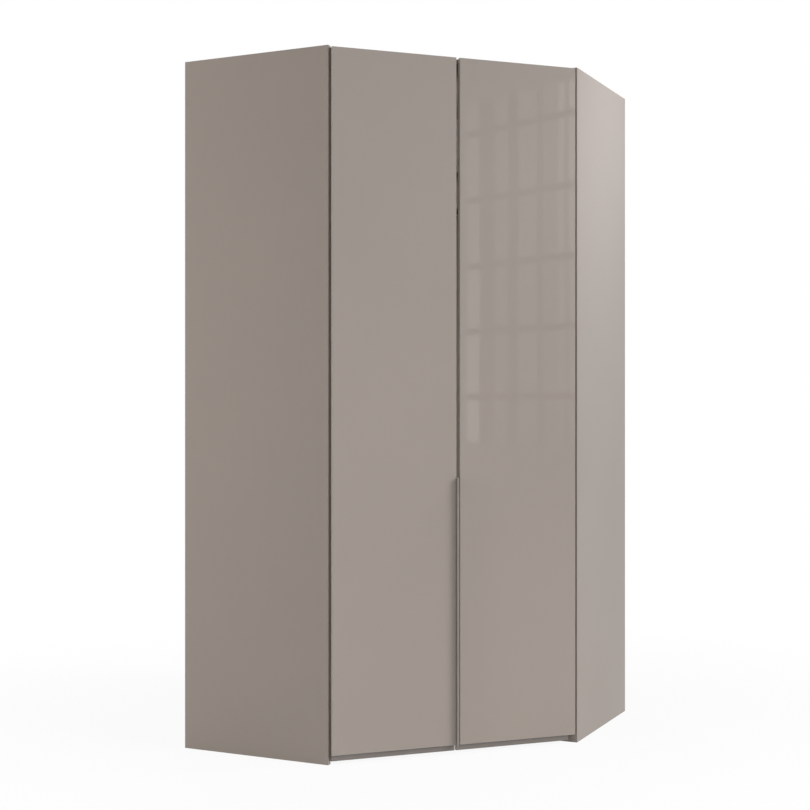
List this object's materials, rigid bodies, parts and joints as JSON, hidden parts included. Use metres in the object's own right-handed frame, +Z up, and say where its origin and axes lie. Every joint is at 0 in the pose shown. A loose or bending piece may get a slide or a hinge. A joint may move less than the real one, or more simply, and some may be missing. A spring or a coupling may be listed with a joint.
{
  "type": "corner wardrobe",
  "caption": "Tall corner wardrobe with a diagonal front: glossy glass-faced hinged doors, a slim grip profile, hat shelf and clothes rails inside.",
  "frame": {"origin": "on the floor, under the middle of the whole wardrobe's extent with the doors closed", "axes": "+X to the viewer's right along the diagonal front, -Y out of the doors towards the viewer, +Y into the room's corner, +Z up"},
  "size_m": [1.697, 1.2618, 2.36],
  "materials": {
    "taupe_board": "satin pebble-grey lacquer film on board",
    "back_board": "matt foil on fibreboard",
    "door_glass": "polished, lacquered pebble-grey on its back",
    "steel": "nickel plated",
    "grip": "satin coated",
    "rail": "polished",
    "plastic": "moulded",
    "rubber": "soft, translucent"
  },
  "bodies": {
    "carcass": {"left_side_panel": "taupe_board", "right_side_panel": "taupe_board", "rear_corner_post": "taupe_board", "base_rail_left_wall": "taupe_board", "base_rail_right_wall": "taupe_board", "base_rail_front": "taupe_board", "bottom_board_left": "taupe_board", "bottom_board_right": "taupe_board", "top_board_left": "taupe_board", "top_board_right": "taupe_board", "shelf_board_left": "taupe_board", "shelf_board_right": "taupe_board", "shelf_cleat_left": "taupe_board", "shelf_cleat_right": "taupe_board", "shelf_rail": "taupe_board", "left_back_inner": "back_board", "left_back_outer": "back_board", "right_back_inner": "back_board", "right_back_outer": "back_board", "cam_discs": "steel", "cam_bolts": "steel", "shelf_pins": "steel", "left_wall_bracket": "steel", "right_wall_bracket": "steel", "bracket_screws": "steel", "left_hinge_arms": "steel", "left_hinge_plates": "steel", "left_plate_screws": "steel", "right_hinge_arms": "steel", "right_hinge_plates": "steel", "right_plate_screws": "steel", "clothes_rail_left": "rail", "clothes_rail_right": "rail", "left_back_strip": "plastic", "right_back_strip": "plastic", "rail_sockets": "plastic", "door_bumpers": "rubber"},
    "left_door": {"left_door_board": "taupe_board", "left_door_glass": "door_glass", "left_door_foot_strip": "taupe_board", "left_hinge_cups": "steel", "left_hinge_pins": "steel", "left_cup_screws": "steel"},
    "right_door": {"right_door_board": "taupe_board", "right_door_glass": "door_glass", "right_door_foot_strip": "taupe_board", "right_hinge_cups": "steel", "right_hinge_pins": "steel", "right_cup_screws": "steel", "grip_profile": "grip", "grip_screws": "steel"}
  },
  "joints": [
    {"name": "left_door_hinge", "type": "hinge", "parent": "carcass", "child": "left_door", "pos_m": [-0.43203, -0.59959, 0], "axis": [0, 0, -1], "range_deg": [0, 95]},
    {"name": "right_door_hinge", "type": "hinge", "parent": "carcass", "child": "right_door", "pos_m": [0.43203, -0.59959, 0], "axis": [0, 0, 1], "range_deg": [0, 95]}
  ]
}
